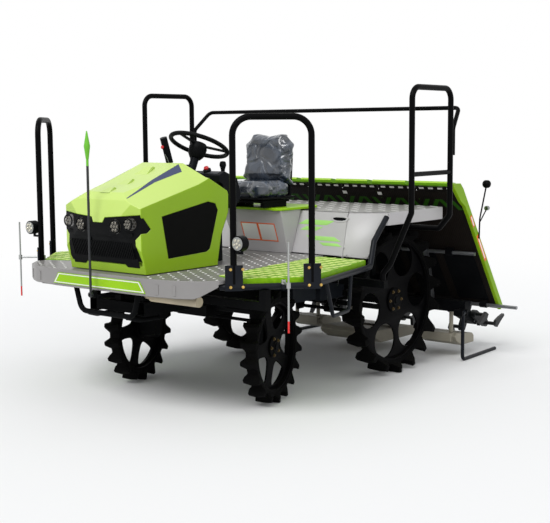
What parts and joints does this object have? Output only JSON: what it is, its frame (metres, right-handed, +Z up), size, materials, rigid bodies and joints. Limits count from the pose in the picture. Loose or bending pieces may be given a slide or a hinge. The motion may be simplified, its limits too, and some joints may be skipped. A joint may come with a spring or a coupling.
{
  "type": "rice transplanter",
  "caption": "Riding rice transplanter with paddle-lug wheels, a rounded hood, side steps with hoops, and a lifting planting unit under a sloping seedling table.",
  "frame": {"origin": "on the ground under the middle of the machine's overall length", "axes": "+X forward, +Y to the machine's left, +Z up"},
  "size_m": [3.2441, 2.208, 1.814],
  "materials": {
    "chassis_frame": "satin blue-grey paint",
    "engine_block": "rough casting",
    "rear_axle_case": "satin paint",
    "front_axle_case": "satin paint",
    "floor": "tread-dotted",
    "front_plate": "blank green plate",
    "side_steps": "ribbed",
    "step_rails": "satin",
    "side_hoops": "satin",
    "tall_frames": "satin",
    "rear_rail": "satin",
    "rear_body": "moulded",
    "seat_box": "moulded",
    "seat_plate": "moulded",
    "seat_base": "black",
    "seat_cushion": "vinyl",
    "seat_back": "vinyl",
    "console": "moulded",
    "control_levers": "grips",
    "front_guard": "satin",
    "underfloor_boxes": "satin",
    "silencer": "dull",
    "work_lamps": "housing with a pale lens",
    "hood": "glossy green",
    "grille_mask": "ribbed black",
    "hood_screens": "perforated black",
    "head_lamps": "clear lens over a reflector",
    "steering_wheel": "moulded grip",
    "left_knuckle": "painted casting",
    "right_knuckle": "painted casting",
    "tie_rod": "plain",
    "front_left_tyre": "solid rubber paddle lugs",
    "front_left_rim": "painted steel",
    "front_right_tyre": "solid rubber paddle lugs",
    "front_right_rim": "painted steel",
    "rear_left_tyre": "solid rubber paddle lugs",
    "rear_left_rim": "painted steel",
    "rear_right_tyre": "solid rubber paddle lugs",
    "rear_right_rim": "painted steel",
    "front_pole": "black rod with a green tip",
    "left_side_rod": "thin rod",
    "right_side_rod": "thin rod",
    "lower_link": "satin",
    "upper_link": "satin",
    "ram_barrel": "satin",
    "ram_rod": "polished",
    "unit_frame": "satin",
    "table_rails": "zinc-plated bars and uprights",
    "planting_cases": "cast",
    "floats": "moulded",
    "planting_rotors": "cast",
    "seedling_table": "dark moulded lanes",
    "table_shoes": "moulded",
    "table_sides": "moulded",
    "table_caps": "moulded",
    "table_stalk": "black",
    "left_stand": "satin",
    "right_stand": "satin"
  },
  "bodies": {
    "chassis": {"chassis_frame": "chassis_frame", "engine_block": "engine_block", "rear_axle_case": "rear_axle_case", "front_axle_case": "front_axle_case", "floor": "floor", "front_plate": "front_plate", "side_steps": "side_steps", "step_rails": "step_rails", "side_hoops": "side_hoops", "tall_frames": "tall_frames", "rear_rail": "rear_rail", "rear_body": "rear_body", "seat_box": "seat_box", "seat_plate": "seat_plate", "seat_base": "seat_base", "seat_cushion": "seat_cushion", "seat_back": "seat_back", "console": "console", "control_levers": "control_levers", "front_guard": "front_guard", "underfloor_boxes": "underfloor_boxes", "silencer": "silencer", "work_lamps": "work_lamps"},
    "hood": {"hood": "hood", "grille_mask": "grille_mask", "hood_screens": "hood_screens", "head_lamps": "head_lamps"},
    "steering_wheel": {"steering_wheel": "steering_wheel"},
    "left_knuckle": {"left_knuckle": "left_knuckle"},
    "right_knuckle": {"right_knuckle": "right_knuckle"},
    "tie_rod": {"tie_rod": "tie_rod"},
    "front_left_wheel": {"front_left_tyre": "front_left_tyre", "front_left_rim": "front_left_rim"},
    "front_right_wheel": {"front_right_tyre": "front_right_tyre", "front_right_rim": "front_right_rim"},
    "rear_left_wheel": {"rear_left_tyre": "rear_left_tyre", "rear_left_rim": "rear_left_rim"},
    "rear_right_wheel": {"rear_right_tyre": "rear_right_tyre", "rear_right_rim": "rear_right_rim"},
    "front_pole": {"front_pole": "front_pole"},
    "left_side_rod": {"left_side_rod": "left_side_rod"},
    "right_side_rod": {"right_side_rod": "right_side_rod"},
    "lower_link": {"lower_link": "lower_link"},
    "upper_link": {"upper_link": "upper_link"},
    "ram_barrel": {"ram_barrel": "ram_barrel"},
    "ram_rod": {"ram_rod": "ram_rod"},
    "planting_unit": {"unit_frame": "unit_frame", "table_rails": "table_rails", "planting_cases": "planting_cases", "floats": "floats"},
    "planting_rotors": {"planting_rotors": "planting_rotors"},
    "seedling_table": {"seedling_table": "seedling_table", "table_shoes": "table_shoes", "table_sides": "table_sides", "table_caps": "table_caps", "table_stalk": "table_stalk"},
    "left_stand": {"left_stand": "left_stand"},
    "right_stand": {"right_stand": "right_stand"}
  },
  "joints": [
    {"name": "front_left_wheel_spin", "type": "hinge", "parent": "left_knuckle", "child": "front_left_wheel", "pos_m": [0.71017, 0.52359, 0.325], "axis": [-0.2588, 0.9659, 0], "continuous": true},
    {"name": "front_right_wheel_spin", "type": "hinge", "parent": "right_knuckle", "child": "front_right_wheel", "pos_m": [0.76193, -0.52359, 0.325], "axis": [-0.2588, 0.9659, 0], "continuous": true},
    {"name": "rear_left_wheel_spin", "type": "hinge", "parent": "chassis", "child": "rear_left_wheel", "pos_m": [-0.40895, 0.6075, 0.468], "axis": [0, 1, 0], "continuous": true},
    {"name": "rear_right_wheel_spin", "type": "hinge", "parent": "chassis", "child": "rear_right_wheel", "pos_m": [-0.40895, -0.6075, 0.468], "axis": [0, 1, 0], "continuous": true},
    {"name": "steering_wheel_turn", "type": "hinge", "parent": "chassis", "child": "steering_wheel", "pos_m": [0.74205, 0, 1.473], "axis": [-0.4226, 0, 0.9063], "range_deg": [-510, 210]},
    {"name": "left_kingpin", "type": "hinge", "parent": "chassis", "child": "left_knuckle", "pos_m": [0.73605, 0.427, 0.5], "axis": [0, 0, 1], "range_deg": [-51, 21]},
    {"name": "right_kingpin", "type": "hinge", "parent": "chassis", "child": "right_knuckle", "pos_m": [0.73605, -0.427, 0.5], "axis": [0, 0, 1], "range_deg": [-51, 21]},
    {"name": "tie_rod_pivot", "type": "hinge", "parent": "left_knuckle", "child": "tie_rod", "pos_m": [0.60565, 0.39206, 0.435], "axis": [0, 0, 1], "range_deg": [-21, 51]},
    {"name": "hood_opening", "type": "hinge", "parent": "chassis", "child": "hood", "pos_m": [0.84705, 0, 1.2], "axis": [0, -1, 0], "range_deg": [0, 30]},
    {"name": "front_pole_fold", "type": "hinge", "parent": "chassis", "child": "front_pole", "pos_m": [1.60505, 0, 0.684], "axis": [1, 0, 0], "range_deg": [0, 90]},
    {"name": "left_side_rod_swing", "type": "hinge", "parent": "chassis", "child": "left_side_rod", "pos_m": [1.14329, 0.96271, 0.782], "axis": [0, 0, 1], "range_deg": [0, 85]},
    {"name": "right_side_rod_swing", "type": "hinge", "parent": "chassis", "child": "right_side_rod", "pos_m": [1.14329, -0.96271, 0.782], "axis": [0, 0, -1], "range_deg": [0, 85]},
    {"name": "lower_link_lift", "type": "hinge", "parent": "chassis", "child": "lower_link", "pos_m": [-0.54895, 0, 0.386], "axis": [0, 1, 0], "range_deg": [0, 46]},
    {"name": "upper_link_lift", "type": "hinge", "parent": "chassis", "child": "upper_link", "pos_m": [-0.57395, 0, 0.6], "axis": [0, 1, 0], "range_deg": [0, 46]},
    {"name": "planting_unit_level", "type": "hinge", "parent": "lower_link", "child": "planting_unit", "pos_m": [-1.02895, 0, 0.291], "axis": [0, 1, 0], "range_deg": [-46, 0]},
    {"name": "ram_barrel_tilt", "type": "hinge", "parent": "chassis", "child": "ram_barrel", "pos_m": [-0.51895, 0, 0.34], "axis": [0, 1, 0], "range_deg": [0, 15.13]},
    {"name": "ram_rod_stroke", "type": "slide", "parent": "ram_barrel", "child": "ram_rod", "axis": [-0.6991, 0, 0.715], "range_m": [0, 0.0964]},
    {"name": "rotor_spin", "type": "hinge", "parent": "planting_unit", "child": "planting_rotors", "pos_m": [-1.43895, 0, 0.215], "axis": [0, 1, 0], "continuous": true},
    {"name": "table_shift", "type": "slide", "parent": "planting_unit", "child": "seedling_table", "axis": [0, 1, 0], "range_m": [-0.14, 0.14]},
    {"name": "left_stand_swing", "type": "hinge", "parent": "planting_unit", "child": "left_stand", "pos_m": [-0.95395, 0.806, 0.33], "axis": [1, 0, 0], "range_deg": [0, 90]},
    {"name": "right_stand_swing", "type": "hinge", "parent": "planting_unit", "child": "right_stand", "pos_m": [-0.95395, -0.806, 0.33], "axis": [-1, 0, 0], "range_deg": [0, 90]}
  ],
  "couplings": [
    {"joint": "left_kingpin", "follows": "steering_wheel_turn", "ratio": 0.1},
    {"joint": "right_kingpin", "follows": "steering_wheel_turn", "ratio": 0.1},
    {"joint": "tie_rod_pivot", "follows": "steering_wheel_turn", "ratio": -0.1},
    {"joint": "upper_link_lift", "follows": "lower_link_lift", "ratio": 1},
    {"joint": "planting_unit_level", "follows": "lower_link_lift", "ratio": -1},
    {"joint": "ram_barrel_tilt", "follows": "lower_link_lift", "ratio": 0.3287},
    {"joint": "ram_rod_stroke", "follows": "lower_link_lift", "m_per_rad": 0.1199}
  ]
}
